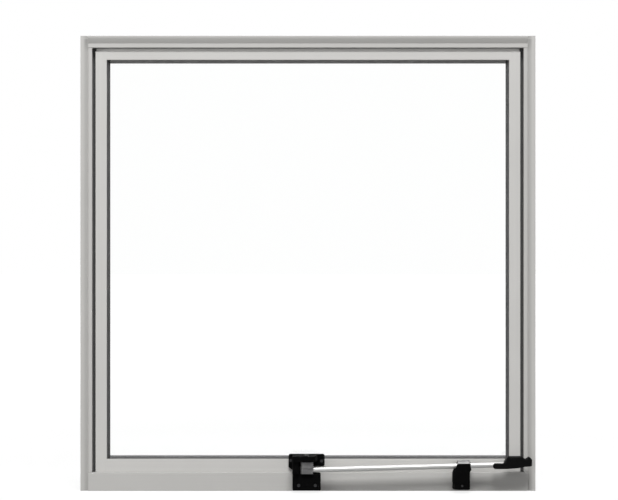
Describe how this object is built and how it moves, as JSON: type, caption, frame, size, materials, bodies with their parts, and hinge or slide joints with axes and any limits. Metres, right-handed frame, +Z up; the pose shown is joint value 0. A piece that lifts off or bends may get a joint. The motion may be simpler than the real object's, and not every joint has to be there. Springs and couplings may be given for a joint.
{
  "type": "top hung awning window",
  "caption": "Square aluminium window: a fixed frame, a glazed sash hung from the head, and a sliding stay with a guide, a catch and a hand grip along the sill.",
  "frame": {"origin": "middle of the sill's flat underside, half way through the frame's depth", "axes": "+X to the right as seen from the room, +Y out of the building, +Z up"},
  "size_m": [0.9, 0.095, 0.9],
  "materials": {
    "frame_aluminium": "natural anodised, satin",
    "sash_aluminium": "natural anodised, satin",
    "bead_aluminium": "natural anodised, satin",
    "clear_glass": "clear float glass",
    "setting_rubber": "hard black rubber",
    "gasket_rubber": "black rubber strip",
    "seal_rubber": "soft black rubber strip",
    "black_casting": "black powder coat",
    "pin_steel": "plated steel",
    "bare_zinc": "tumbled grey casting",
    "bright_rod": "bright drawn rod",
    "grip_plastic": "moulded black plastic"
  },
  "bodies": {
    "root": {"frame_head": "frame_aluminium", "frame_sill": "frame_aluminium", "frame_jamb_left": "frame_aluminium", "frame_jamb_right": "frame_aluminium", "sash_top_rail": "sash_aluminium", "sash_bottom_rail": "sash_aluminium", "sash_stile_left": "sash_aluminium", "sash_stile_right": "sash_aluminium", "bead_top": "bead_aluminium", "bead_bottom": "bead_aluminium", "bead_left": "bead_aluminium", "bead_right": "bead_aluminium", "glass_pane": "clear_glass", "setting_blocks": "setting_rubber", "inner_gasket_top": "gasket_rubber", "inner_gasket_bottom": "gasket_rubber", "inner_gasket_left": "gasket_rubber", "inner_gasket_right": "gasket_rubber", "outer_gasket_top": "gasket_rubber", "outer_gasket_bottom": "gasket_rubber", "outer_gasket_left": "gasket_rubber", "outer_gasket_right": "gasket_rubber", "jamb_seal_left": "seal_rubber", "jamb_seal_right": "seal_rubber", "sill_seal": "seal_rubber", "sash_bracket": "black_casting", "sill_catch": "black_casting", "guide_foot": "black_casting", "guide_body": "black_casting", "guide_pivot": "pin_steel", "swivel_pin": "pin_steel", "swivel_block": "bare_zinc", "guide_bush": "bare_zinc", "stay_rod": "bright_rod", "stay_grip": "grip_plastic"}
  },
  "joints": []
}
